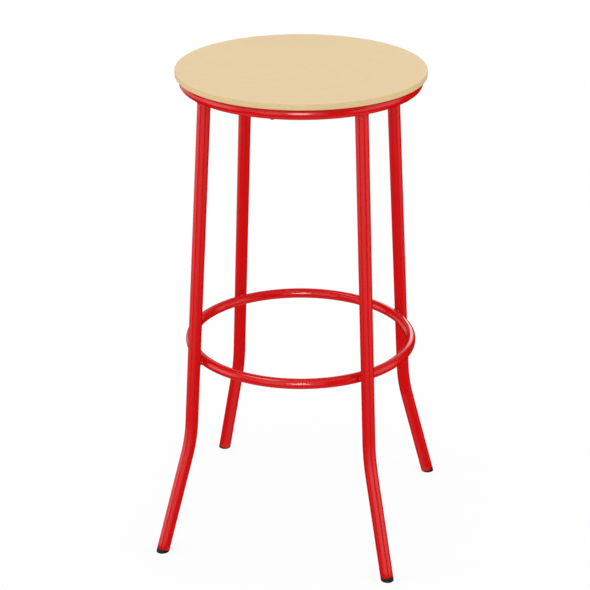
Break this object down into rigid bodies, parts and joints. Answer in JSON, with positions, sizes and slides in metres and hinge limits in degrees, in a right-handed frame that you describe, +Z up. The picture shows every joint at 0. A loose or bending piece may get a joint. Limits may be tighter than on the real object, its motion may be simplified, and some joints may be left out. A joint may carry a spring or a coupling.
{
  "type": "high stool",
  "caption": "High stool: round laminated wooden seat on splayed, bent steel-tube legs, held by a tube ring under the seat and a lower tube ring as foot rest.",
  "frame": {"origin": "on the floor, under the middle of the seat", "axes": "+Z up along the stool's axis; the front is -Y, midway between two legs; +X to the right"},
  "size_m": [0.385, 0.385, 0.76],
  "materials": {
    "top_laminate": "satin maple laminate",
    "plywood": "sanded, clear lacquered edge",
    "backing_laminate": "matt backing laminate",
    "red_powder_coat": "gloss red powder coat",
    "black_plastic": "moulded, matt",
    "screw_steel": "dark zinc plated"
  },
  "bodies": {
    "root": {"seat_top_laminate": "top_laminate", "seat_board": "plywood", "seat_bottom_laminate": "backing_laminate", "seat_ring": "red_powder_coat", "foot_ring": "red_powder_coat", "seat_ring_welds": "red_powder_coat", "foot_ring_welds": "red_powder_coat", "leg_front_right": "red_powder_coat", "leg_rear_right": "red_powder_coat", "leg_rear_left": "red_powder_coat", "leg_front_left": "red_powder_coat", "foot_plug_front_right": "black_plastic", "foot_plug_rear_right": "black_plastic", "foot_plug_rear_left": "black_plastic", "foot_plug_front_left": "black_plastic", "seat_screws": "screw_steel"}
  },
  "joints": []
}
